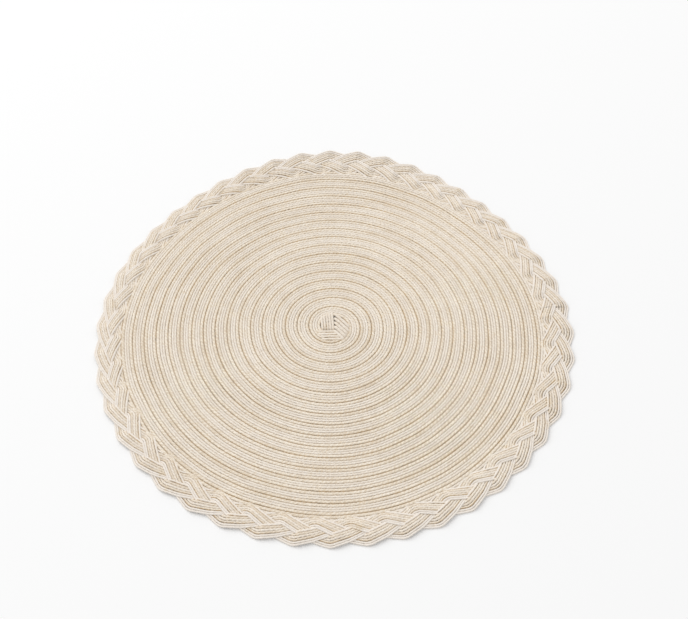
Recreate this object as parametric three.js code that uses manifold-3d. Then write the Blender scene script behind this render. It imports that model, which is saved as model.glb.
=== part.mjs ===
// A round placemat of soft cream yarn. A flat band of parallel yarns is wound
// in a spiral from a folded centre, its turns lie side by side, and a plait of
// three narrower bands runs round the edge.
// Millimetres, +Z up. The origin is the centre of the winding, on the surface
// that the mat lies on. Angles start at +X and grow anticlockwise seen from above.

import * as THREE from 'three';
import { mergeVertices } from 'three/addons/utils/BufferGeometryUtils.js';
import Module from 'manifold-3d';

const TURN = 2 * Math.PI;
const DEGREE = Math.PI / 180;
const MERGE_DISTANCE = 1e-3;

// The wound field: the band turns, seen from above as low flat ribs.
const FIELD = {
  turnPitch: 9.3, // width of one turn of the band
  firstLineRadius: 13.7, // inner edge of the first whole turn, at angle 0
  innerRadius: 12, // the winding starts here, under the folded centre
  outerRadius: 164.6, // where the last whole ribs end
  lineHeight: 1.4, // thickness at the stitched line between two turns
  ribHeight: 2.4, // thickness on the back of a turn
  edgeHeight: 1.8, // thickness at the field's outer edge
  spokes: 45, // steps round the field
  edgeSteps: 4, // steps of the outer edge for each spoke
};

// Places across one turn, as a share of the pitch, and their height.
const RIB_PROFILE = [
  { share: 0, height: FIELD.lineHeight },
  { share: 0.25, height: FIELD.ribHeight },
  { share: 0.75, height: FIELD.ribHeight },
];

// The folded centre: three short lengths of the band laid like a pinwheel.
const CENTRE = { bandLayerBottom: 0.9, bevel: 0.6, cornerRadius: 2.2, cornerSteps: 3 };
const CENTRE_PADS = [
  { x: -3.9, y: 6.4, length: 17, width: 9.4, turn: 90, top: 2.9 },
  { x: 7.2, y: 1.2, length: 20, width: 9.6, turn: -62, top: 3.2 },
  { x: -2.8, y: -10.4, length: 17, width: 10.2, turn: 0, top: 2.6 },
];

// The plait: three closed bands, each a flat six-sided section.
const PLAIT = {
  strands: 3,
  waves: 15, // waves of each strand round the mat
  radius: 179.2, // middle of the plait
  swing: 7.2, // sideways reach of a strand's centre line
  peak: 0.04, // share of the third harmonic that points the scallops
  bandWidth: 8.4,
  bandThickness: 1.6,
  flatShare: 0.55, // share of the width that has the full thickness
  middleHeight: 2.13,
  stepsPerWave: 12,
  firstTip: 3.6 * DEGREE, // angle of the first outer tip
  driftReach: 2.3 * DEGREE, // tips run ahead of and behind an even spacing
  driftAngle: 300 * DEGREE,
};

// Rise and tilt of a strand along one wave, which weave it over and under.
const WEAVE = { riseTwo: 1.38, riseFour: 0.16, tiltThree: 0.12 };

const CLEARANCE = 0.55; // plan gap between the field's edge and the plait

// How far the real mat is out of round: each row moves a point outwards by
// reach x cos(order x angle - phase), and fades towards the centre.
const UNEVENNESS = [
  { order: 1, reach: 2.9, phase: -112, fade: 1 },
  { order: 2, reach: 1.9, phase: -42, fade: 1 },
  { order: 3, reach: 1.9, phase: -84, fade: 5 },
  { order: 4, reach: 1.9, phase: -8, fade: 4 },
  { order: 5, reach: 0.9, phase: 70, fade: 5 },
  { order: 0, reach: 1.1, phase: 0, fade: 12 },
  { order: 1, reach: 2.8, phase: 34, fade: 12 },
  { order: 2, reach: 2.0, phase: 157, fade: 12 },
  { order: 3, reach: 0.7, phase: -68, fade: 12 },
];
const NOMINAL_RADIUS = 190;

const COLOURS = {
  field: 0xdfd3c2,
  strands: [0xdcd2c4, 0xe0d5c5, 0xd9cebe],
  roughness: 0.95,
};

// Outward shift of a point of the round mat that makes it uneven.
function unevenShift(angle, radius) {
  let shift = 0;
  for (const row of UNEVENNESS) {
    const share = (radius / NOMINAL_RADIUS) ** row.fade;
    shift += row.reach * share * Math.cos(row.order * angle - row.phase * DEGREE);
  }
  return shift;
}

// A point of the mat from its place on the even, round one.
function place(angle, radius, height) {
  const out = radius + unevenShift(angle, radius);
  return new THREE.Vector3(out * Math.cos(angle), out * Math.sin(angle), height);
}

// The plait is worked out on an even ring, whose waves are all of one length,
// and this is the mat's angle for an angle of that ring.
function plaitAngle(even) {
  return even + PLAIT.firstTip + PLAIT.driftReach * Math.cos(even - PLAIT.driftAngle);
}

// Phase of a strand at an even angle. A strand is at its outer tip where this
// is a quarter turn, and runs inwards on top after it.
function strandPhase(strand, even) {
  return PLAIT.waves * even + TURN / 4 + (strand * TURN) / PLAIT.strands;
}

function strandSwing(phase) {
  return PLAIT.swing * (Math.sin(phase) - PLAIT.peak * Math.sin(3 * phase));
}

// Sideways slope of a strand's centre line along the plait.
function strandSlope(phase) {
  const perPhase = PLAIT.swing * (Math.cos(phase) - 3 * PLAIT.peak * Math.cos(3 * phase));
  return (perPhase * PLAIT.waves) / PLAIT.radius;
}

function strandHeight(phase) {
  const rise = WEAVE.riseTwo * Math.sin(2 * phase) + WEAVE.riseFour * Math.sin(4 * phase);
  return PLAIT.middleHeight - rise;
}

function strandTilt(phase) {
  return -WEAVE.tiltThree * Math.cos(3 * phase);
}

// Radius of the plait's inner outline, which the field's edge follows.
function plaitInnerRadius(even) {
  let inner = Infinity;
  for (let strand = 0; strand < PLAIT.strands; strand += 1) {
    const phase = strandPhase(strand, even);
    const halfAcross = (PLAIT.bandWidth / 2) * Math.hypot(1, strandSlope(phase));
    inner = Math.min(inner, PLAIT.radius + strandSwing(phase) - halfAcross);
  }
  return inner;
}

// A geometry from points and triangles, with shared points merged and the
// triangles that have shrunk to a line left out.
function solidFrom(points, triangles) {
  const geometry = new THREE.BufferGeometry().setFromPoints(points);
  geometry.setIndex(triangles.flat());
  const merged = mergeVertices(geometry, MERGE_DISTANCE);
  const index = Array.from(merged.index.array);
  const kept = [];
  for (let i = 0; i < index.length; i += 3) {
    const [a, b, c] = index.slice(i, i + 3);
    if (a !== b && b !== c && c !== a) kept.push(a, b, c);
  }
  merged.setIndex(kept);
  return merged;
}

// The spiral field without its folded centre. Lines run along the spiral at
// each place of the rib profile, spokes cross them, and a line that has not
// started, or has ended, lies on the inner or outer ring.
function windingGeometry() {
  const points = [];
  const triangles = [];
  const add = (point) => points.push(point) - 1;
  const spokeAngle = (spoke) => (spoke / FIELD.spokes) * TURN;
  const ring = (count, make) => Array.from({ length: count }, (_, i) => add(make(i)));
  const snap = 0.4; // a line this close to a ring lies on it

  const innerRing = ring(FIELD.spokes, (i) => (
    place(spokeAngle(i), FIELD.innerRadius, FIELD.lineHeight)));
  const outerRing = ring(FIELD.spokes, (i) => (
    place(spokeAngle(i), FIELD.outerRadius, FIELD.ribHeight)));

  const lineRadius = (line, spoke) => {
    const turn = Math.floor(line / RIB_PROFILE.length) - 1;
    const { share } = RIB_PROFILE[line % RIB_PROFILE.length];
    const turnsOut = turn + share - spoke / FIELD.spokes;
    return FIELD.firstLineRadius + FIELD.turnPitch * turnsOut;
  };
  const pointOnLine = (line, spoke) => {
    const radius = lineRadius(line, spoke);
    if (radius < FIELD.innerRadius + snap) return innerRing[spoke % FIELD.spokes];
    if (radius > FIELD.outerRadius - snap) return outerRing[spoke % FIELD.spokes];
    const { height } = RIB_PROFILE[line % RIB_PROFILE.length];
    return add(place(spokeAngle(spoke), radius, height));
  };

  const wound = FIELD.outerRadius - FIELD.firstLineRadius;
  const lines = (Math.ceil(wound / FIELD.turnPitch) + 3) * RIB_PROFILE.length;
  for (let line = 0; line < lines; line += 1) {
    for (let spoke = 0; spoke < FIELD.spokes; spoke += 1) {
      const a = pointOnLine(line, spoke);
      const b = pointOnLine(line + 1, spoke);
      const c = pointOnLine(line + 1, spoke + 1);
      const d = pointOnLine(line, spoke + 1);
      triangles.push([a, b, c], [a, c, d]);
    }
  }

  // The inner disc, and the rim from the last ribs to the scalloped edge.
  const centre = add(place(0, 0, FIELD.lineHeight));
  const underCentre = add(place(0, 0, 0));
  const edgeCount = FIELD.spokes * FIELD.edgeSteps;
  const edgePoint = (i, height) => {
    const even = (i / edgeCount) * TURN;
    return place(plaitAngle(even), plaitInnerRadius(even) - CLEARANCE, height);
  };
  const edgeTop = ring(edgeCount, (i) => edgePoint(i, FIELD.edgeHeight));
  const edgeBottom = ring(edgeCount, (i) => edgePoint(i, 0));
  for (let spoke = 0; spoke < FIELD.spokes; spoke += 1) {
    const next = (spoke + 1) % FIELD.spokes;
    triangles.push([centre, innerRing[spoke], innerRing[next]]);
    const first = spoke * FIELD.edgeSteps;
    const middle = first + Math.ceil(FIELD.edgeSteps / 2);
    for (let i = first; i < first + FIELD.edgeSteps; i += 1) {
      const ringPoint = i < middle ? outerRing[spoke] : outerRing[next];
      triangles.push([ringPoint, edgeTop[i], edgeTop[(i + 1) % edgeCount]]);
    }
    triangles.push([outerRing[spoke], edgeTop[middle % edgeCount], outerRing[next]]);
  }
  for (let i = 0; i < edgeCount; i += 1) {
    const next = (i + 1) % edgeCount;
    triangles.push([edgeTop[i], edgeBottom[i], edgeBottom[next]]);
    triangles.push([edgeTop[i], edgeBottom[next], edgeTop[next]]);
    triangles.push([underCentre, edgeBottom[next], edgeBottom[i]]);
  }
  return solidFrom(points, triangles);
}

// One short length of band in the folded centre, with rounded ends and edges.
function padGeometry(pad) {
  const halfLength = pad.length / 2 - CENTRE.bevel;
  const halfWidth = pad.width / 2 - CENTRE.bevel;
  const corner = CENTRE.cornerRadius;
  const outline = new THREE.Shape();
  outline.moveTo(-halfLength + corner, -halfWidth);
  outline.lineTo(halfLength - corner, -halfWidth);
  outline.absarc(halfLength - corner, -halfWidth + corner, corner, -TURN / 4, 0);
  outline.lineTo(halfLength, halfWidth - corner);
  outline.absarc(halfLength - corner, halfWidth - corner, corner, 0, TURN / 4);
  outline.lineTo(-halfLength + corner, halfWidth);
  outline.absarc(-halfLength + corner, halfWidth - corner, corner, TURN / 4, TURN / 2);
  outline.lineTo(-halfLength, -halfWidth + corner);
  outline.absarc(-halfLength + corner, -halfWidth + corner, corner, TURN / 2, 0.75 * TURN);
  const geometry = new THREE.ExtrudeGeometry(outline, {
    depth: pad.top - CENTRE.bandLayerBottom - 2 * CENTRE.bevel,
    curveSegments: CENTRE.cornerSteps,
    bevelThickness: CENTRE.bevel,
    bevelSize: CENTRE.bevel,
    bevelSegments: 1,
  });
  geometry.translate(0, 0, CENTRE.bandLayerBottom + CENTRE.bevel);
  geometry.rotateZ(pad.turn * DEGREE);
  geometry.translate(pad.x, pad.y, 0);
  return geometry;
}

const wasm = await Module();
wasm.setup();

function toSolid(geometry) {
  const bare = geometry.clone();
  bare.deleteAttribute('normal');
  bare.deleteAttribute('uv');
  const merged = mergeVertices(bare, MERGE_DISTANCE);
  return new wasm.Manifold(new wasm.Mesh({
    numProp: 3,
    vertProperties: Float32Array.from(merged.attributes.position.array),
    triVerts: Uint32Array.from(merged.index.array),
  }));
}

function toGeometry(solid) {
  const { vertProperties, triVerts } = solid.getMesh();
  const geometry = new THREE.BufferGeometry();
  geometry.setAttribute('position', new THREE.BufferAttribute(vertProperties, 3));
  geometry.setIndex(new THREE.BufferAttribute(triVerts, 1));
  return geometry;
}

// The whole field: the winding with the three folded lengths on its centre.
function fieldGeometry() {
  let solid = toSolid(windingGeometry());
  for (const pad of CENTRE_PADS) solid = solid.add(toSolid(padGeometry(pad)));
  return toGeometry(solid);
}

// One closed strand of the plait: a flat section swept round the mat.
function strandGeometry(strand) {
  const halfWidth = PLAIT.bandWidth / 2;
  const halfThickness = PLAIT.bandThickness / 2;
  const flat = PLAIT.flatShare * halfWidth;
  const section = [
    [halfWidth, 0], [flat, halfThickness], [-flat, halfThickness],
    [-halfWidth, 0], [-flat, -halfThickness], [flat, -halfThickness],
  ];
  const steps = PLAIT.waves * PLAIT.stepsPerWave;
  const points = [];
  const triangles = [];
  for (let step = 0; step < steps; step += 1) {
    const even = (step / steps) * TURN;
    const phase = strandPhase(strand, even);
    const radius = PLAIT.radius + strandSwing(phase);
    const lean = Math.atan(strandSlope(phase));
    for (const [across, up] of section) {
      // The section is square to the strand in plan, and tilted across it.
      const outwards = across * Math.cos(lean);
      const along = -across * Math.sin(lean);
      const rise = up + across * strandTilt(phase);
      const angle = plaitAngle(even + along / PLAIT.radius);
      points.push(place(angle, radius + outwards, strandHeight(phase) + rise));
    }
  }
  const sides = section.length;
  const at = (step, side) => (step % steps) * sides + (side % sides);
  for (let step = 0; step < steps; step += 1) {
    for (let side = 0; side < sides; side += 1) {
      const a = at(step, side);
      const b = at(step + 1, side);
      const c = at(step + 1, side + 1);
      const d = at(step, side + 1);
      triangles.push([a, b, c], [a, c, d]);
    }
  }
  return solidFrom(points, triangles);
}

function part(name, geometry, colour) {
  geometry.computeVertexNormals();
  const material = new THREE.MeshStandardMaterial({
    color: colour,
    roughness: COLOURS.roughness,
    metalness: 0,
  });
  const mesh = new THREE.Mesh(geometry, material);
  mesh.name = name;
  return mesh;
}

const placemat = new THREE.Group();
placemat.add(part('wound_field', fieldGeometry(), COLOURS.field));
for (let strand = 0; strand < PLAIT.strands; strand += 1) {
  const name = `plait_strand_${strand + 1}`;
  placemat.add(part(name, strandGeometry(strand), COLOURS.strands[strand]));
}

export default placemat;
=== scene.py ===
"""A round placemat of soft cream cotton yarn, on a pale floor.

A flat band of four yarns is wound in a spiral from a folded centre, and a plait
of three bands of six finer yarns runs round the edge. Every yarn is a tube that
Geometry Nodes sweep along a path worked out here. Metres, +Z up, the origin is the
centre of the winding on the surface that the mat lies on.
"""

import math

import bpy
import numpy as np
from bpy.props import (
    FloatProperty,
    FloatVectorProperty,
    IntProperty,
    PointerProperty,
    StringProperty,
)
from mathutils import Matrix, Vector


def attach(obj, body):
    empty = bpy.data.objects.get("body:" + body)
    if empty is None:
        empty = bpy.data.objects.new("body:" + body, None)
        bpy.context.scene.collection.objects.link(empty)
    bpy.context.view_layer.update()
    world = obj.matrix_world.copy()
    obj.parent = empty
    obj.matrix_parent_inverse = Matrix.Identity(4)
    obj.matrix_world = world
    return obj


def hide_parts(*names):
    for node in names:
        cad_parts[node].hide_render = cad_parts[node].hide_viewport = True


bl_info = {
    "name": "Wound Yarn Placemat",
    "version": (1, 0, 0),
    "blender": (4, 5, 0),
    "location": "View3D > Sidebar > Placemat",
    "description": "Makes a placemat wound from cotton yarn, with a plaited edge",
    "category": "Add Mesh",
}

TURN = 2 * math.pi
MM = 0.001

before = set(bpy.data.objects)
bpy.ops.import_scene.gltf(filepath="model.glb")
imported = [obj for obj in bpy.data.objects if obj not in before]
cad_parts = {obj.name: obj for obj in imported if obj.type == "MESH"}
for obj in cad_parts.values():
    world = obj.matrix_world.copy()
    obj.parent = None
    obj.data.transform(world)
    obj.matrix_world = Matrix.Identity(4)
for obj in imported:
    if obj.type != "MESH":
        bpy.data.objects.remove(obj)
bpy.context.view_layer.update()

FIELD_NODE = "wound_field"
STRAND_NODES = ["plait_strand_1", "plait_strand_2", "plait_strand_3"]

# The yarns across one turn of the band: middle of the yarn from the turn's inner
# line, half width and half height (mm), how grey it is, how much twist shows, and
# on which side a stitched seam lies (-1 inwards, 1 outwards, 0 none).
BAND_YARNS = [
    {"at": 1.36, "half_width": 1.48, "half_height": 1.00, "grey": 0.2, "twist": 0.9, "seam": -1},
    {"at": 3.72, "half_width": 1.08, "half_height": 0.98, "grey": 0.6, "twist": 0.8, "seam": 0},
    {"at": 5.60, "half_width": 1.08, "half_height": 0.98, "grey": 0.6, "twist": 0.8, "seam": 0},
    {"at": 7.94, "half_width": 1.48, "half_height": 1.00, "grey": 0.2, "twist": 0.9, "seam": 1},
]

# The field is made in three rings, so that no piece is too heavy. The numbers are
# the radius where each ring ends (mm), and the last ring ends under the plait.
RING_ENDS = [90.0, 127.0, None]
PLAIT_INNER_EDGE = 168.0 * MM

# The yarns across one strand of the plait, from the inner edge to the outer edge.
# Here "at" counts from the strand's own middle line, and a seam that is not 1 or -1
# is a wider one.
STRAND_YARNS = [
    {"at": -4.10, "half_width": 1.02, "half_height": 0.80, "grey": 0.9, "twist": 0.5, "seam": 1.5},
    {"at": -2.25, "half_width": 1.00, "half_height": 0.94, "grey": 0.3, "twist": 0.8, "seam": -1},
    {"at": -0.48, "half_width": 1.00, "half_height": 0.94, "grey": 0.6, "twist": 0.8, "seam": 0},
    {"at": 1.22, "half_width": 0.94, "half_height": 0.90, "grey": 0.3, "twist": 0.8, "seam": 2},
    {"at": 2.85, "half_width": 0.86, "half_height": 0.76, "grey": 1.5, "twist": 0.3, "seam": -1},
    {"at": 4.33, "half_width": 0.78, "half_height": 0.72, "grey": 1.8, "twist": 0.3, "seam": 0},
]

# The folded centre: three short lengths of band laid like a pinwheel, whose yarns
# run at "turn" (degrees). Each yarn starts at a point of a straight border, which
# runs from "first" to "last", and ends at the ring that closes the centre (mm).
# Its upper side is "top" above the table, and dips at both ends by PAD_DIP.
CENTRE_PADS = [
    {"first": (-7.4, -2.6), "last": (1.3, -3.4), "turn": 94, "yarns": 5, "top": 2.9},
    {"first": (2.9, 11.8), "last": (2.2, -4.4), "turn": -49, "yarns": 5, "top": 3.2},
    {"first": (3.4, -5.2), "last": (9.4, -12.6), "turn": 180, "yarns": 4, "top": 2.7},
]
CENTRE_RING = {"x": 0.8, "y": -1.1, "across": 13.4, "along": 15.2}
PAD_DIP = 1.2
PAD_DIP_SHARPNESS = 8
SHORTEST_PAD_YARN = 2
PAD_POINTS = 24

# Points over which a corner of the plait is averaged, the widths over which its
# inner tips go under and its outer edge leans down, and how far apart the yarns
# start in the noise that runs along them (m).
CORNER_SAMPLES = 9
DIVE_WIDTH = 8 * MM
LEAN_WIDTH = 7 * MM
RUN_BETWEEN_YARNS = 0.37

# How far the mat is out of round: a point moves outwards by
# reach x cos(order x angle - phase), less towards the centre (mm, degrees).
UNEVENNESS = [
    {"order": 1, "reach": 2.9, "phase": -112, "fade": 1},
    {"order": 2, "reach": 1.9, "phase": -42, "fade": 1},
    {"order": 3, "reach": 1.9, "phase": -84, "fade": 5},
    {"order": 4, "reach": 1.9, "phase": -8, "fade": 4},
    {"order": 5, "reach": 0.9, "phase": 70, "fade": 5},
    {"order": 0, "reach": 1.1, "phase": 0, "fade": 12},
    {"order": 1, "reach": 2.8, "phase": 34, "fade": 12},
    {"order": 2, "reach": 2.0, "phase": 157, "fade": 12},
    {"order": 3, "reach": 0.7, "phase": -68, "fade": 12},
]
NOMINAL_RADIUS = 190.0

# The noise in the yarn's colour and bump: what it follows, the size of its lumps (mm),
# and how much finer noise it has. Real fibres are about 0.02 mm across, too fine to
# show, so they are drawn coarser.
YARN_NOISE = [
    {"name": "fibres", "follows": "yarn", "size": 0.45, "detail": 3.0, "roughness": 0.6},
    {"name": "grain", "follows": "place", "size": 1.2, "detail": 3.0, "roughness": 0.65},
    {"name": "patch", "follows": "place", "size": 9.0, "detail": 2.0, "roughness": 0.5},
    {"name": "cloud", "follows": "place", "size": 45.0, "detail": 1.0, "roughness": 0.5},
    {"name": "tone", "follows": "yarn", "size": 26.0, "detail": 2.0, "roughness": 0.5},
    {"name": "stretch", "follows": "yarn", "size": 34.0, "detail": 2.0, "roughness": 0.5},
    {"name": "dashes", "follows": "yarn", "size": 1.2, "detail": 3.0, "roughness": 0.7},
    {"name": "shade", "follows": "yarn", "size": 2.6, "detail": 2.0, "roughness": 0.6},
]
YARN_RADIUS = 1.2 * MM

# Kinds of node that are used often, and their settings. A colour mix gives its colour
# at its third output.
MATH = "ShaderNodeMath"
VECTOR_MATH = "ShaderNodeVectorMath"
MAP_RANGE = "ShaderNodeMapRange"
MIX = "ShaderNodeMix"
SMOOTH = {"clamp": True, "interpolation_type": "SMOOTHSTEP"}
COLOURS = {"data_type": "RGBA", "clamp_factor": True}
MIXED_COLOUR = 2
LEVEL = (1, 1, 0)


def linear_colour(hex_code):
    """Linear red, green and blue of an sRGB hex code."""
    channels = [int(hex_code[i : i + 2], 16) / 255 for i in (1, 3, 5)]
    return [c / 12.92 if c <= 0.04045 else ((c + 0.055) / 1.055) ** 2.4 for c in channels]


def colour_property(name, description, hex_code):
    """A colour that a user can change, from an sRGB hex code."""
    return FloatVectorProperty(
        name=name,
        description=description,
        subtype="COLOR",
        size=3,
        min=0,
        max=1,
        default=linear_colour(hex_code),
    )


def length_property(name, description, millimetres):
    """A length that a user can change, from millimetres."""
    return FloatProperty(
        name=name,
        description=description,
        unit="LENGTH",
        min=0,
        precision=5,
        default=millimetres * MM,
    )


class PlacematField(bpy.types.PropertyGroup):
    turn_pitch: length_property("Turn pitch", "Width of one turn of the band", 9.3)
    first_line: length_property("First line", "Inner edge of the first whole turn", 13.7)
    start_radius: length_property("Start radius", "The winding starts here", 3.4)
    under_plait: length_property("Under plait", "Reach of a yarn's end under the plait", 3.2)
    middle_height: length_property("Middle height", "Height of a yarn's middle", 1.2)
    flatten_from: length_property("Flatten from", "Radius where yarns flatten", 167.2)
    flatten_over: length_property("Flatten over", "Width over which they flatten", 3.0)
    flatten_share: FloatProperty(
        name="Flatten share", description="How much flatter they are in the end", default=0.35
    )
    step: length_property("Step", "Length between two rings of a yarn", 1.3)
    sides: IntProperty(name="Sides", description="Faces round a yarn", default=8, min=3)
    wander: length_property("Wander", "How far the turns leave their line", 0.55)


class PlacematPlait(bpy.types.PropertyGroup):
    waves: IntProperty(name="Waves", description="Waves of a strand round the mat", default=15)
    middle_radius: length_property("Middle radius", "Middle of the plait", 178.2)
    swing: length_property("Swing", "Sideways reach of a strand", 8.5)
    tip_rounding: FloatProperty(
        name="Tip rounding",
        description="Angle of a wave over which a corner is rounded, to each side",
        subtype="ANGLE",
        default=math.radians(14),
    )
    arm_slope: FloatProperty(
        name="Arm slope", description="Sideways slope of an arm", default=0.47
    )
    rise: length_property("Rise", "How far a strand climbs and sinks", 1.55)
    pressed_from: length_property("Pressed from", "Beyond it the outer tips are flatter", 2.5)
    pressed_share: FloatProperty(
        name="Pressed share", description="How much flatter the outer tips are", default=0.27
    )
    lean_radius: length_property("Lean radius", "Beyond it the edge leans down", 182.5)
    lean_share: FloatProperty(
        name="Lean share", description="How far the edge leans down", default=0.5
    )
    dive_radius: length_property("Dive radius", "Where the inner tips are under", 165.4)
    dive_height: length_property("Dive height", "Height of a tip that is under", 1.0)
    middle_height: length_property("Middle height", "Mean height of a strand", 2.2)
    first_tip: FloatProperty(
        name="First tip",
        description="Angle of the first outer tip",
        subtype="ANGLE",
        default=math.radians(3.6),
    )
    drift_reach: FloatProperty(
        name="Drift reach",
        description="How far tips run ahead of an even spacing",
        subtype="ANGLE",
        default=math.radians(2.3),
    )
    drift_angle: FloatProperty(
        name="Drift angle",
        description="Where the tips run furthest ahead",
        subtype="ANGLE",
        default=math.radians(300),
    )
    steps_per_wave: IntProperty(name="Steps", description="Rings of a yarn in a wave", default=72)
    sides: IntProperty(name="Sides", description="Faces round a yarn", default=10, min=3)
    wander: length_property("Wander", "How far the strands leave their line", 0.25)


class PlacematYarn(bpy.types.PropertyGroup):
    ridge_spacing: length_property("Ridge spacing", "Length from one ply to the next", 3.4)
    ridge_height: length_property("Ridge height", "How far a ply stands out", 0.13)
    fuzz_height: length_property("Fuzz height", "Unevenness of a yarn", 0.10)
    fuzz_size: length_property("Fuzz size", "Length of that unevenness", 3.0)
    wander_size: length_property("Wander size", "Length over which a yarn wanders", 45.0)
    seed: IntProperty(name="Seed", description="Changes all random shapes", default=4)
    # The light and dark cream span the yarn's own tone, and they also carry the painted highlight
    # on ply crests and the painted shade between plies and yarns.
    light: colour_property("Light yarn", "Cream yarn at its palest", "#F9EFDF")
    dark: colour_property("Dark yarn", "Cream yarn at its deepest", "#D4C0A3")
    grey: colour_property("Grey yarn", "The finer yarns inside the band", "#F5EFE9")
    seam: colour_property("Seam", "Tan thread that shows between turns", "#CDAF82")
    seam_deep: colour_property("Deep seam", "Where that thread lies in the shade", "#97836C")


class PlacematStage(bpy.types.PropertyGroup):
    floor_size: FloatProperty(
        name="Floor size", description="Side of the floor", unit="LENGTH", default=6.0
    )
    floor: colour_property("Floor", "Plain pale floor", "#F7F7F7")
    key: FloatProperty(
        name="Key", description="Power of the main light", unit="POWER", default=119.0
    )
    key_size: FloatProperty(
        name="Key size", description="Width of the main light", unit="LENGTH", default=5.2
    )
    key_place: FloatVectorProperty(
        name="Key place",
        description="Where the main light hangs",
        subtype="TRANSLATION",
        default=(-2.1, 2.5, 3.8),
    )
    fill: FloatProperty(name="Fill", description="Strength of the light all round", default=0.75)
    elevation: FloatProperty(
        name="Elevation",
        description="Height of the camera above the floor",
        subtype="ANGLE",
        default=math.radians(54.252),
    )
    roll: FloatProperty(
        name="Roll",
        description="Turn of the camera round its own axis",
        subtype="ANGLE",
        default=math.radians(-0.979),
    )
    distance: FloatProperty(
        name="Distance",
        description="From the camera to the middle of the mat",
        unit="LENGTH",
        default=0.8990,
    )
    focal: FloatProperty(name="Focal length", description="In pixels", default=1110.70)
    middle: FloatVectorProperty(
        name="Middle",
        description="Where the mat's middle is in the picture, in pixels",
        size=2,
        default=(331.73, 327.50),
    )
    picture: FloatVectorProperty(
        name="Picture",
        description="Width and height of the picture, in pixels",
        size=2,
        default=(688, 619),
    )


class PlacematSettings(bpy.types.PropertyGroup):
    field: PointerProperty(type=PlacematField)
    plait: PointerProperty(type=PlacematPlait)
    yarn: PointerProperty(type=PlacematYarn)
    stage: PointerProperty(type=PlacematStage)
    material_name: StringProperty(
        name="Yarn material",
        description="Name of the material of all yarns",
        default="twisted_cotton_yarn",
    )


def uneven_shift(angle, radius):
    """Outward shift that makes the round mat as uneven as the real one."""
    shift = np.zeros_like(angle)
    for row in UNEVENNESS:
        share = (radius / (NOMINAL_RADIUS * MM)) ** row["fade"]
        wave = np.cos(row["order"] * angle - math.radians(row["phase"]))
        shift += row["reach"] * MM * share * wave
    return shift


def place(angle, radius, height):
    """Points of the mat from their places on the even, round one."""
    out = radius + uneven_shift(angle, radius)
    return np.column_stack([out * np.cos(angle), out * np.sin(angle), height])


def plait_angle(plait, even):
    """The mat's angle for an angle of the even ring that the plait is worked out on."""
    return even + plait.first_tip + plait.drift_reach * np.cos(even - plait.drift_angle)


def strand_phase(plait, strand, even):
    """Where a strand is in its waves, as an angle, for an angle of the even ring."""
    return plait.waves * even + TURN / 4 + strand * TURN / len(STRAND_NODES)


def rounded(plait, phase, shape):
    """A shape with corners, of the phase in turns, with its corners rounded."""
    offsets = np.linspace(-plait.tip_rounding, plait.tip_rounding, CORNER_SAMPLES)
    return sum(shape((phase + offset) / TURN) for offset in offsets) / len(offsets)


def strand_swing(plait, phase):
    """How far out a strand is: straight arms from tip to tip. The outer tip is at a
    quarter turn of the phase and the inner tip at three quarters."""
    zigzag = rounded(plait, phase, lambda turns: 1 - 4 * np.abs((turns + 0.25) % 1 - 0.5))
    swing = plait.swing * zigzag
    # The outer tips are pressed in, which makes the edge less deeply scalloped.
    return swing - plait.pressed_share * np.maximum(swing - plait.pressed_from, 0)


def strand_height(plait, phase):
    """A strand climbs at each tip, and then sinks slowly under the other two."""
    sinking = rounded(plait, phase, lambda turns: 1 - 2 * ((2 * turns - 0.5) % 1))
    return plait.middle_height + plait.rise * sinking


def strand_path(plait, strand, yarn):
    """One yarn of a plait strand, closed round the mat."""
    even = np.arange(plait.waves * plait.steps_per_wave) / plait.steps_per_wave
    even = even * TURN / plait.waves
    phase = strand_phase(plait, strand, even)
    # Yarns lie beside each other straight across the plait, which mitres the tips.
    beside = yarn["at"] * MM * math.hypot(1, plait.arm_slope)
    radius = plait.middle_radius + strand_swing(plait, phase) + beside
    height = strand_height(plait, phase)
    # The inner tips dive under the outermost turn of the wound band.
    out = np.clip((radius - plait.dive_radius) / DIVE_WIDTH, 0, 1)
    out = out * out * (3 - 2 * out)
    height = height * out + plait.dive_height * (1 - out)
    # The outer edge leans down to the table.
    edge = np.clip((radius - plait.lean_radius) / LEAN_WIDTH, 0, 1)
    height = height * (1 - plait.lean_share * edge)
    height = np.maximum(height, yarn["half_height"] * MM)
    return yarn_path(place(plait_angle(plait, even), radius, height), yarn, closed=True)


def yarn_path(points, yarn, closed=False, squash=None):
    """One yarn: its points with the sizes and looks that travel along it."""
    steps = np.linalg.norm(np.diff(points, axis=0), axis=1)
    return {
        "points": points,
        "closed": closed,
        "run": np.concatenate([[0.0], np.cumsum(steps)]),
        "squash": np.ones(len(points)) if squash is None else squash,
        "yarn": yarn,
    }


def winding_edge(field):
    """Radius where the wound band ends, a little way under the plait."""
    return PLAIT_INNER_EDGE + field.under_plait


def spiral_path(field, yarn, ring):
    """One yarn of the wound band inside one ring of the field, from outside inwards."""
    offset = yarn["at"] * MM
    low = field.start_radius if ring == 0 else RING_ENDS[ring - 1] * MM
    low += offset
    high = RING_ENDS[ring]
    high = winding_edge(field) if high is None else high * MM + offset
    # The radius grows by one pitch in a turn, so its square grows evenly with length.
    length = math.pi * (high**2 - low**2) / field.turn_pitch
    count = math.ceil(length / field.step) + 1
    radius = np.sqrt(np.linspace(high**2, low**2, count))
    turns = (radius - field.first_line - offset) / field.turn_pitch
    angle = -TURN * turns
    # Where the last turn meets the plait, it is pressed flat.
    flat = np.clip((radius - field.flatten_from) / field.flatten_over, 0, 1)
    squash = 1 - field.flatten_share * flat
    height = field.middle_height * squash
    return yarn_path(place(angle, radius, height), yarn, squash=squash)


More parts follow.
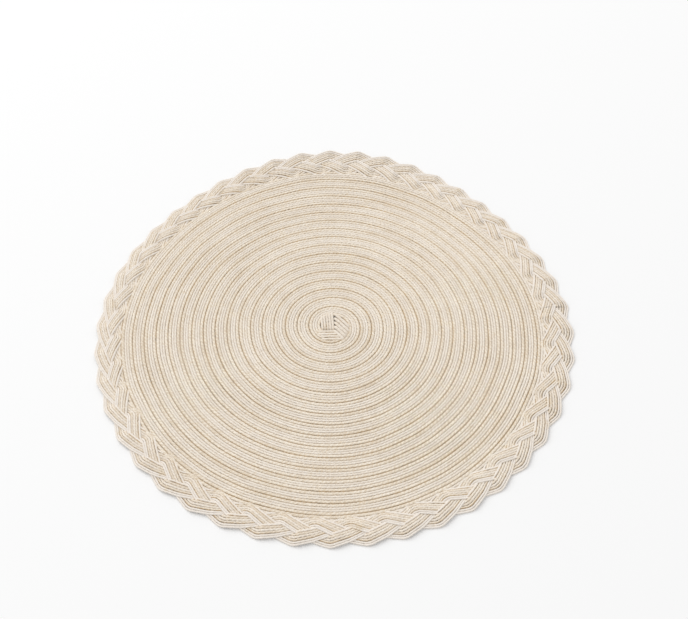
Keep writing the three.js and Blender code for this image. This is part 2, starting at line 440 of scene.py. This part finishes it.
def pad_paths(pad):
    """The yarns of one short length of band in the folded centre."""
    turn = math.radians(pad["turn"])
    along = np.array([math.cos(turn), math.sin(turn)])
    border = np.subtract(pad["last"], pad["first"])
    spacing = np.linalg.norm(border - along * (border @ along)) / (pad["yarns"] - 1)
    yarn = {
        "half_width": spacing * 0.5,
        "half_height": 0.95,
        "grey": 0.6,
        "twist": 0.4,
        "seam": 1,
    }
    ring = np.array([CENTRE_RING["across"], CENTRE_RING["along"]])
    paths = []
    for i in range(pad["yarns"]):
        start = pad["first"] + border * i / (pad["yarns"] - 1)
        # Where the yarn's line meets the ring, as a share of the ring's two radii.
        offset = (start - [CENTRE_RING["x"], CENTRE_RING["y"]]) / ring
        step = along / ring
        half = offset @ step
        reach = -half + math.sqrt(max(half**2 - (step @ step) * (offset @ offset - 1), 0))
        length = reach / (step @ step)
        if length < SHORTEST_PAD_YARN:
            continue
        share = np.linspace(0, 1, PAD_POINTS)
        points = start + np.outer(share * length, along)
        dip = PAD_DIP * np.abs(2 * share - 1) ** PAD_DIP_SHARPNESS
        height = pad["top"] - yarn["half_height"] - dip
        paths.append(yarn_path(np.column_stack([points, height]) * MM, yarn))
    return paths


def path_mesh(name, paths):
    """A mesh of edges along all the paths, with what the sweep needs at each point."""
    points = []
    edges = []
    columns = {"half_width": [], "half_height": [], "run": [], "grey": [], "twist": [], "seam": []}
    start = 0
    for number, path in enumerate(paths):
        count = len(path["points"])
        points.append(path["points"])
        ends = np.arange(start, start + count - 1)
        edges.append(np.column_stack([ends, ends + 1]))
        if path["closed"]:
            edges.append([[start + count - 1, start]])
        yarn = path["yarn"]
        columns["half_width"].append(np.full(count, yarn["half_width"] * MM))
        columns["half_height"].append(yarn["half_height"] * MM * path["squash"])
        # Every yarn starts at its own place in the noise that runs along it.
        columns["run"].append(path["run"] + RUN_BETWEEN_YARNS * number)
        for key in ("grey", "twist", "seam"):
            columns[key].append(np.full(count, float(yarn[key])))
        start += count
    mesh = bpy.data.meshes.new(name)
    mesh.from_pydata(np.vstack(points).tolist(), np.vstack(edges).tolist(), [])
    for key, values in columns.items():
        attribute = mesh.attributes.new(key, "FLOAT", "POINT")
        attribute.data.foreach_set("value", np.concatenate(values).astype(np.float32))
    return mesh


def add_node(tree, kind, settings=None, inputs=(), output=0):
    """Adds a node, sets its properties, sets or links its inputs, given in order or by
    name, and returns one of its outputs."""
    node = tree.nodes.new(kind)
    for key, value in (settings or {}).items():
        setattr(node, key, value)
    for key, value in inputs.items() if isinstance(inputs, dict) else enumerate(inputs):
        if isinstance(value, bpy.types.NodeSocket):
            tree.links.new(value, node.inputs[key])
        else:
            node.inputs[key].default_value = value
    return node.outputs[output] if node.outputs else None


def yarn_sweep_tree(name, material):
    """Geometry Nodes that turn a mesh of paths into twisted yarns."""
    tree = bpy.data.node_groups.new(name, "GeometryNodeTree")
    face = tree.interface
    face.new_socket("Geometry", in_out="INPUT", socket_type="NodeSocketGeometry")
    face.new_socket("Sides", in_out="INPUT", socket_type="NodeSocketInt")
    for label in (
        "Ridge spacing",
        "Ridge height",
        "Fuzz height",
        "Fuzz size",
        "Wander reach",
        "Wander size",
        "Seed",
    ):
        face.new_socket(label, in_out="INPUT", socket_type="NodeSocketFloat")
    face.new_socket("Geometry", in_out="OUTPUT", socket_type="NodeSocketGeometry")
    given = tree.nodes.new("NodeGroupInput").outputs

    # What a point of a path, and then of its yarn, carries with it.
    at = {}
    for attribute, kind in (
        ("half_width", "FLOAT"),
        ("half_height", "FLOAT"),
        ("run", "FLOAT"),
        ("twist", "FLOAT"),
        ("around", "FLOAT"),
        ("middle", "FLOAT_VECTOR"),
    ):
        at[attribute] = add_node(
            tree, "GeometryNodeInputNamedAttribute", {"data_type": kind}, {"Name": attribute}
        )
    position = add_node(tree, "GeometryNodeInputPosition")

    # The path wanders sideways, together with its neighbours. The noise stays within
    # about a quarter of its middle, so 4 brings it up to the reach.
    seed_shift = add_node(tree, "ShaderNodeCombineXYZ", None, {"Z": given["Seed"]})
    seeded = add_node(tree, VECTOR_MATH, {"operation": "ADD"}, [position, seed_shift])
    wander_scale = add_node(tree, MATH, {"operation": "DIVIDE"}, [1.0, given["Wander size"]])
    wander = add_node(
        tree,
        "ShaderNodeTexNoise",
        {"noise_dimensions": "3D"},
        {"Vector": seeded, "Scale": wander_scale, "Detail": 1.0, "Roughness": 0.4},
        "Color",
    )
    sideways = add_node(tree, VECTOR_MATH, {"operation": "SUBTRACT"}, [wander, (0.5, 0.5, 0.5)])
    sideways = add_node(tree, VECTOR_MATH, {"operation": "MULTIPLY"}, [sideways, LEVEL])
    reach = add_node(tree, MATH, {"operation": "MULTIPLY"}, [given["Wander reach"], 4.0])
    sideways = add_node(tree, VECTOR_MATH, {"operation": "SCALE"}, {0: sideways, "Scale": reach})
    moved = add_node(
        tree,
        "GeometryNodeSetPosition",
        None,
        {"Geometry": given["Geometry"], "Offset": sideways},
    )
    curve = add_node(tree, "GeometryNodeMeshToCurve", None, {"Mesh": moved})
    curve = add_node(tree, "GeometryNodeSetCurveNormal", {"mode": "Z_UP"}, {"Curve": curve})
    curve = add_node(
        tree,
        "GeometryNodeStoreNamedAttribute",
        {"data_type": "FLOAT_VECTOR", "domain": "POINT"},
        {"Geometry": curve, "Name": "middle", "Value": position},
    )

    # A round section of radius 1 carries its angle, and takes each yarn's own size.
    circle = add_node(
        tree,
        "GeometryNodeCurvePrimitiveCircle",
        {"mode": "RADIUS"},
        {"Resolution": given["Sides"], "Radius": 1.0},
    )
    around = add_node(tree, "GeometryNodeInputIndex")
    around = add_node(tree, MATH, {"operation": "MULTIPLY"}, [around, TURN])
    around = add_node(tree, MATH, {"operation": "DIVIDE"}, [around, given["Sides"]])
    circle = add_node(
        tree,
        "GeometryNodeStoreNamedAttribute",
        {"data_type": "FLOAT", "domain": "POINT"},
        {"Geometry": circle, "Name": "around", "Value": around},
    )
    mesh = add_node(
        tree,
        "GeometryNodeCurveToMesh",
        None,
        {"Curve": curve, "Profile Curve": circle, "Scale": at["half_width"], "Fill Caps": True},
    )

    # The section is pressed flat to the yarn's own height.
    pressed = add_node(tree, VECTOR_MATH, {"operation": "SUBTRACT"}, [position, at["middle"]])
    flat_share = add_node(
        tree, MATH, {"operation": "DIVIDE"}, [at["half_height"], at["half_width"]]
    )
    flatten = add_node(tree, "ShaderNodeCombineXYZ", None, [1.0, 1.0, flat_share])
    pressed = add_node(tree, VECTOR_MATH, {"operation": "MULTIPLY"}, [pressed, flatten])
    pressed = add_node(tree, VECTOR_MATH, {"operation": "ADD"}, [at["middle"], pressed])
    mesh = add_node(
        tree, "GeometryNodeSetPosition", None, {"Geometry": mesh, "Position": pressed}
    )

    # How far out of its yarn's middle a point is, from -1 at the inner side to 1.
    radii = []
    for point in (position, at["middle"]):
        level = add_node(tree, VECTOR_MATH, {"operation": "MULTIPLY"}, [point, LEVEL])
        radii.append(add_node(tree, VECTOR_MATH, {"operation": "LENGTH"}, [level], "Value"))
    across = add_node(tree, MATH, {"operation": "SUBTRACT"}, radii)
    across = add_node(tree, MATH, {"operation": "DIVIDE"}, [across, at["half_width"]])
    mesh = add_node(
        tree,
        "GeometryNodeStoreNamedAttribute",
        {"data_type": "FLOAT", "domain": "POINT"},
        {"Geometry": mesh, "Name": "across", "Value": across},
    )

    # Two plies twist round each other, and the yarn is thicker and thinner along it.
    ridge = add_node(tree, MATH, {"operation": "MULTIPLY"}, [at["run"], TURN])
    ridge = add_node(tree, MATH, {"operation": "DIVIDE"}, [ridge, given["Ridge spacing"]])
    ridge = add_node(tree, MATH, {"operation": "MULTIPLY_ADD"}, [at["around"], 2.0, ridge])
    ridge = add_node(tree, MATH, {"operation": "SINE"}, [ridge])
    ridge = add_node(tree, MATH, {"operation": "MULTIPLY"}, [ridge, given["Ridge height"]])
    ridge = add_node(tree, MATH, {"operation": "MULTIPLY"}, [ridge, at["twist"]])
    fuzz_scale = add_node(tree, MATH, {"operation": "DIVIDE"}, [1.0, given["Fuzz size"]])
    fuzz = add_node(
        tree,
        "ShaderNodeTexNoise",
        {"noise_dimensions": "3D"},
        {"Vector": seeded, "Scale": fuzz_scale, "Detail": 2.0},
    )
    fuzz = add_node(tree, MATH, {"operation": "SUBTRACT"}, [fuzz, 0.5])
    fuzz = add_node(tree, MATH, {"operation": "MULTIPLY"}, [fuzz, given["Fuzz height"]])
    relief = add_node(tree, MATH, {"operation": "MULTIPLY_ADD"}, [fuzz, 4.0, ridge])
    normal = add_node(tree, "GeometryNodeInputNormal")
    relief = add_node(tree, VECTOR_MATH, {"operation": "SCALE"}, {0: normal, "Scale": relief})
    mesh = add_node(tree, "GeometryNodeSetPosition", None, {"Geometry": mesh, "Offset": relief})

    mesh = add_node(tree, "GeometryNodeSetShadeSmooth", {"domain": "FACE"}, {"Geometry": mesh})
    mesh = add_node(tree, "GeometryNodeRealizeInstances", None, {"Geometry": mesh})
    mesh = add_node(
        tree, "GeometryNodeSetMaterial", None, {"Geometry": mesh, "Material": material}
    )
    add_node(tree, "NodeGroupOutput", None, [mesh])
    return tree


def socket_identifier(tree, label):
    """The identifier by which a modifier knows the tree's input of that name."""
    for item in tree.interface.items_tree:
        if item.item_type == "SOCKET" and item.in_out == "INPUT" and item.name == label:
            return item.identifier
    raise RuntimeError(f"the tree has no input named {label}")


def swept_yarns(name, paths, sides, wander):
    """A plain mesh object of the yarns along the paths."""
    settings = bpy.context.scene.placemat
    yarn = settings.yarn
    material = yarn_material(settings)
    tree = bpy.data.node_groups.get("yarn_sweep") or yarn_sweep_tree("yarn_sweep", material)
    source = bpy.data.objects.new(name + "_paths", path_mesh(name + "_paths", paths))
    bpy.context.collection.objects.link(source)
    modifier = source.modifiers.new("yarn sweep", "NODES")
    modifier.node_group = tree
    values = {
        "Sides": sides,
        "Ridge spacing": yarn.ridge_spacing,
        "Ridge height": yarn.ridge_height,
        "Fuzz height": yarn.fuzz_height,
        "Fuzz size": yarn.fuzz_size,
        "Wander reach": wander,
        "Wander size": yarn.wander_size,
        "Seed": float(yarn.seed),
    }
    for label, value in values.items():
        modifier[socket_identifier(tree, label)] = value
    depsgraph = bpy.context.evaluated_depsgraph_get()
    mesh = bpy.data.meshes.new_from_object(source.evaluated_get(depsgraph))
    if not mesh.polygons:
        raise RuntimeError(f"{name} has no faces")
    mesh.name = name
    piece = bpy.data.objects.new(name, mesh)
    bpy.context.collection.objects.link(piece)
    bpy.data.objects.remove(source)
    return piece


def yarn_material(settings):
    """Soft spun cotton yarn, loosely twisted and not dyed. It looks quite matt, with
    a pale bloom of loose fibres at its edges, slanting plies that catch the light,
    and a tan thread that shows here and there between two turns."""
    # Beside the yarn's own tone, light on the ply crests and shade between plies and between yarns
    # are painted into the colour below.
    name = settings.material_name
    if name in bpy.data.materials:
        return bpy.data.materials[name]
    yarn = settings.yarn
    light, dark, grey, seam, seam_deep = [
        (*colour, 1.0) for colour in (yarn.light, yarn.dark, yarn.grey, yarn.seam, yarn.seam_deep)
    ]
    material = bpy.data.materials.new(name)
    material.use_nodes = True
    tree = material.node_tree
    tree.nodes.clear()

    at = {}
    for attribute in ("run", "around", "across", "twist", "grey", "seam"):
        at[attribute] = add_node(
            tree,
            "ShaderNodeAttribute",
            {"attribute_type": "GEOMETRY", "attribute_name": attribute},
            output="Fac",
        )
    spot = add_node(tree, "ShaderNodeTexCoord", output="Object")

    # Each ply is a ridge that slants round the yarn.
    ridge = add_node(tree, MATH, {"operation": "MULTIPLY"}, [at["run"], TURN])
    ridge = add_node(tree, MATH, {"operation": "DIVIDE"}, [ridge, yarn.ridge_spacing])
    ridge = add_node(tree, MATH, {"operation": "MULTIPLY_ADD"}, [at["around"], 2.0, ridge])
    ridge = add_node(tree, MATH, {"operation": "SINE"}, [ridge])
    ridge = add_node(tree, MATH, {"operation": "MULTIPLY_ADD"}, [ridge, 0.5, 0.5])
    ridge = add_node(tree, MATH, {"operation": "MULTIPLY"}, [ridge, at["twist"]])

    # Fibres follow the yarn, so noise along it is drawn out, by 1 / 0.4.
    drawn_out = add_node(tree, MATH, {"operation": "MULTIPLY"}, [at["run"], 0.4])
    girth = add_node(tree, MATH, {"operation": "MULTIPLY"}, [at["around"], YARN_RADIUS])
    follows = {
        "yarn": add_node(tree, "ShaderNodeCombineXYZ", None, [drawn_out, girth]),
        "place": spot,
    }
    noise = {}
    for row in YARN_NOISE:
        noise[row["name"]] = add_node(
            tree,
            "ShaderNodeTexNoise",
            None,
            {
                "Vector": follows[row["follows"]],
                "Scale": 1 / (row["size"] * MM),
                "Detail": row["detail"],
                "Roughness": row["roughness"],
            },
        )

    # How deep the cream is: darker at random in clouds, with painted highlight on the ply crests
    # and painted shade between the plies.
    tone_and_painted_shade = add_node(tree, MATH, {"operation": "MULTIPLY"}, [noise["grain"], 1.15])
    for value, weight in (
        (noise["patch"], 0.32),
        (noise["cloud"], 0.12),
        (noise["tone"], 0.5),
        (ridge, -0.18),
    ):
        tone_and_painted_shade = add_node(tree, MATH, {"operation": "MULTIPLY_ADD"}, [value, weight, tone_and_painted_shade])

    # Near the centre the band is taken as pressed flat: the painted shade between its yarns is
    # weaker there and the tan thread shows more, so the edges of its turns stand out.
    radius = add_node(tree, VECTOR_MATH, {"operation": "MULTIPLY"}, [spot, LEVEL])
    radius = add_node(tree, VECTOR_MATH, {"operation": "LENGTH"}, [radius], "Value")
    far_out = add_node(tree, MAP_RANGE, SMOOTH, [radius, 40 * MM, 130 * MM])
    past_pads = add_node(tree, MAP_RANGE, SMOOTH, [radius, 13 * MM, 17 * MM])
    pressed = add_node(tree, MATH, {"operation": "SUBTRACT"}, [1.0, far_out])
    pressed = add_node(tree, MATH, {"operation": "MULTIPLY"}, [pressed, past_pads])

    # Painted shade between two yarns, where less light reaches into the groove, most of all at a
    # seam.
    painted_groove_shade = add_node(tree, MATH, {"operation": "ABSOLUTE"}, [at["across"]])
    painted_groove_shade = add_node(tree, MAP_RANGE, SMOOTH, [painted_groove_shade, 0.62, 1.0])
    weight = add_node(tree, MATH, {"operation": "MULTIPLY_ADD"}, [pressed, -0.3, 0.48])
    painted_groove_shade = add_node(tree, MATH, {"operation": "MULTIPLY"}, [painted_groove_shade, weight])
    seam_side = add_node(tree, MATH, {"operation": "MULTIPLY"}, [at["across"], at["seam"]])
    seam_side = add_node(tree, MAP_RANGE, SMOOTH, [seam_side, 0.28, 0.76])
    painted_groove_shade = add_node(tree, MATH, {"operation": "MULTIPLY_ADD"}, [seam_side, 0.16, painted_groove_shade])
    tone_and_painted_shade = add_node(tree, MATH, {"operation": "ADD"}, [painted_groove_shade, tone_and_painted_shade])
    # From light to dark cream: the yarn's own tone together with the painted shade and highlight.
    tone_and_painted_shade = add_node(tree, MAP_RANGE, SMOOTH, [tone_and_painted_shade, 0.62, 1.32])
    colour = add_node(tree, MIX, COLOURS, {0: tone_and_painted_shade, 6: light, 7: dark}, MIXED_COLOUR)

    greyed = add_node(tree, MAP_RANGE, SMOOTH, [noise["patch"], 0.2, 0.5])
    greyed = add_node(
        tree, MATH, {"operation": "MULTIPLY", "use_clamp": True}, [at["grey"], greyed]
    )
    greyed = add_node(tree, MATH, {"operation": "MULTIPLY"}, [greyed, 0.7])
    colour = add_node(tree, MIX, COLOURS, {0: greyed, 6: colour, 7: grey}, MIXED_COLOUR)

    # The tan thread shows in long stretches of some turns, broken into short dashes.
    stretch = add_node(tree, MAP_RANGE, SMOOTH, [noise["stretch"], 0.42, 0.58])
    least = add_node(tree, MATH, {"operation": "MULTIPLY"}, [pressed, 0.55])
    stretch = add_node(tree, MATH, {"operation": "MAXIMUM"}, [stretch, least])
    stretch = add_node(tree, MATH, {"operation": "MULTIPLY_ADD"}, [stretch, 0.66, 0.14])
    dashes = add_node(tree, MAP_RANGE, SMOOTH, [noise["dashes"], 0.36, 0.58])
    shown = add_node(tree, MATH, {"operation": "MULTIPLY"}, [stretch, dashes])
    shown = add_node(tree, MATH, {"operation": "MULTIPLY"}, [seam_side, shown])
    shaded = add_node(tree, MAP_RANGE, SMOOTH, [noise["shade"], 0.48, 0.62])
    thread = add_node(tree, MIX, COLOURS, {0: shaded, 6: seam, 7: seam_deep}, MIXED_COLOUR)
    colour = add_node(tree, MIX, COLOURS, {0: shown, 6: colour, 7: thread}, MIXED_COLOUR)

    height = add_node(tree, MATH, {"operation": "MULTIPLY"}, [ridge, 0.55])
    for value, weight in ((noise["grain"], 0.5), (noise["fibres"], 0.35)):
        height = add_node(tree, MATH, {"operation": "MULTIPLY_ADD"}, [value, weight, height])
    bump = add_node(
        tree,
        "ShaderNodeBump",
        None,
        {"Strength": 0.9, "Distance": 0.35 * MM, "Height": height},
    )
    shader = add_node(
        tree,
        "ShaderNodeBsdfPrincipled",
        None,
        {
            "Base Color": colour,
            "Roughness": 0.95,
            "Specular IOR Level": 0.25,
            "Sheen Weight": 0.25,
            "Sheen Roughness": 0.6,
            "Normal": bump,
        },
    )
    add_node(tree, "ShaderNodeOutputMaterial", None, {"Surface": shader})
    return material


def declare(piece, node):
    """A piece that shows in place of one of the solids."""
    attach(piece, "root")
    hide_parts(node)


class PLACEMAT_OT_wound_field(bpy.types.Operator):
    """Winds the band of four yarns outwards from the centre, in three rings"""

    bl_idname = "placemat.wound_field"
    bl_label = "Wound Field"

    def execute(self, context):
        field = context.scene.placemat.field
        for ring in range(len(RING_ENDS)):
            paths = [spiral_path(field, yarn, ring) for yarn in BAND_YARNS]
            name = f"wound_ring_{ring + 1}"
            piece = swept_yarns(name, paths, field.sides, field.wander)
            declare(piece, FIELD_NODE)
        return {"FINISHED"}


class PLACEMAT_OT_folded_centre(bpy.types.Operator):
    """Lays three short lengths of band on the middle, like a pinwheel"""

    bl_idname = "placemat.folded_centre"
    bl_label = "Folded Centre"

    def execute(self, context):
        paths = [path for pad in CENTRE_PADS for path in pad_paths(pad)]
        piece = swept_yarns("folded_centre", paths, sides=10, wander=0.0)
        declare(piece, FIELD_NODE)
        # Their yarns cover the whole centre once.
        return {"FINISHED"}


class PLACEMAT_OT_plait(bpy.types.Operator):
    """Plaits three strands of six yarns round the edge"""

    bl_idname = "placemat.plait"
    bl_label = "Plaited Edge"

    def execute(self, context):
        plait = context.scene.placemat.plait
        for strand, node in enumerate(STRAND_NODES):
            paths = [strand_path(plait, strand, yarn) for yarn in STRAND_YARNS]
            piece = swept_yarns(f"yarn_strand_{strand + 1}", paths, plait.sides, plait.wander)
            declare(piece, node)
        return {"FINISHED"}


class PLACEMAT_OT_stage(bpy.types.Operator):
    """Sets a pale floor, soft studio light and the camera"""

    bl_idname = "placemat.stage"
    bl_label = "Stage"

    def execute(self, context):
        stage = context.scene.placemat.stage
        self.add_floor(stage)
        self.add_lights(stage)
        self.add_camera(stage)
        context.scene.view_settings.view_transform = "Standard"
        return {"FINISHED"}

    def add_floor(self, stage):
        half = stage.floor_size / 2
        mesh = bpy.data.meshes.new("floor")
        corners = [(-half, -half, 0), (half, -half, 0), (half, half, 0), (-half, half, 0)]
        mesh.from_pydata(corners, [], [(0, 1, 2, 3)])
        floor = bpy.data.objects.new("floor", mesh)
        bpy.context.collection.objects.link(floor)
        material = bpy.data.materials.new("matt_paper")
        material.use_nodes = True
        shader = material.node_tree.nodes["Principled BSDF"]
        shader.inputs["Base Color"].default_value = (*stage.floor, 1.0)
        shader.inputs["Roughness"].default_value = 1.0
        shader.inputs["Specular IOR Level"].default_value = 0.0
        mesh.materials.append(material)

    def add_lights(self, stage):
        light = bpy.data.lights.new("key", "AREA")
        light.shape = "DISK"
        light.size = stage.key_size
        light.energy = stage.key
        key = bpy.data.objects.new("key", light)
        key.location = stage.key_place
        key.rotation_euler = (-key.location).to_track_quat("-Z", "Y").to_euler()
        bpy.context.collection.objects.link(key)
        world = bpy.context.scene.world or bpy.data.worlds.new("studio")
        bpy.context.scene.world = world
        world.use_nodes = True
        background = world.node_tree.nodes["Background"]
        background.inputs["Color"].default_value = (1.0, 1.0, 1.0, 1.0)
        background.inputs["Strength"].default_value = stage.fill

    def add_camera(self, stage):
        width, height = stage.picture
        ray = Vector((stage.middle[0] - width / 2, stage.middle[1] - height / 2, stage.focal))
        middle = ray.normalized() * stage.distance
        up = stage.elevation
        # Columns: the floor's right, away and up directions, as the camera sees them.
        floor_axes = Matrix((
            (1, 0, 0),
            (0, -math.sin(up), -math.cos(up)),
            (0, math.cos(up), -math.sin(up)),
        ))
        view = Matrix.Rotation(stage.roll, 3, "Z") @ floor_axes
        back = view.transposed()
        flip = Matrix(((1, 0, 0), (0, -1, 0), (0, 0, -1)))
        lens = bpy.data.cameras.new("camera")
        lens.sensor_width = 36
        lens.lens = stage.focal / width * 36
        camera = bpy.data.objects.new("camera", lens)
        turned = (back @ flip).to_4x4()
        camera.matrix_world = Matrix.Translation(-(back @ middle)) @ turned
        bpy.context.collection.objects.link(camera)
        bpy.context.scene.camera = camera


class PLACEMAT_PT_panel(bpy.types.Panel):
    bl_idname = "PLACEMAT_PT_panel"
    bl_label = "Placemat"
    bl_space_type = "VIEW_3D"
    bl_region_type = "UI"
    bl_category = "Placemat"

    def draw(self, context):
        for operator in OPERATORS:
            self.layout.operator(operator.bl_idname)


OPERATORS = (
    PLACEMAT_OT_wound_field,
    PLACEMAT_OT_folded_centre,
    PLACEMAT_OT_plait,
    PLACEMAT_OT_stage,
)
CLASSES = (
    PlacematField,
    PlacematPlait,
    PlacematYarn,
    PlacematStage,
    PlacematSettings,
    *OPERATORS,
    PLACEMAT_PT_panel,
)


def register():
    for cls in CLASSES:
        bpy.utils.register_class(cls)
    bpy.types.Scene.placemat = PointerProperty(type=PlacematSettings)


def unregister():
    del bpy.types.Scene.placemat
    for cls in reversed(CLASSES):
        bpy.utils.unregister_class(cls)


def main():
    register()
    bpy.ops.placemat.wound_field()
    bpy.ops.placemat.folded_centre()
    bpy.ops.placemat.plait()
    bpy.ops.placemat.stage()


if __name__ == "__main__":
    main()
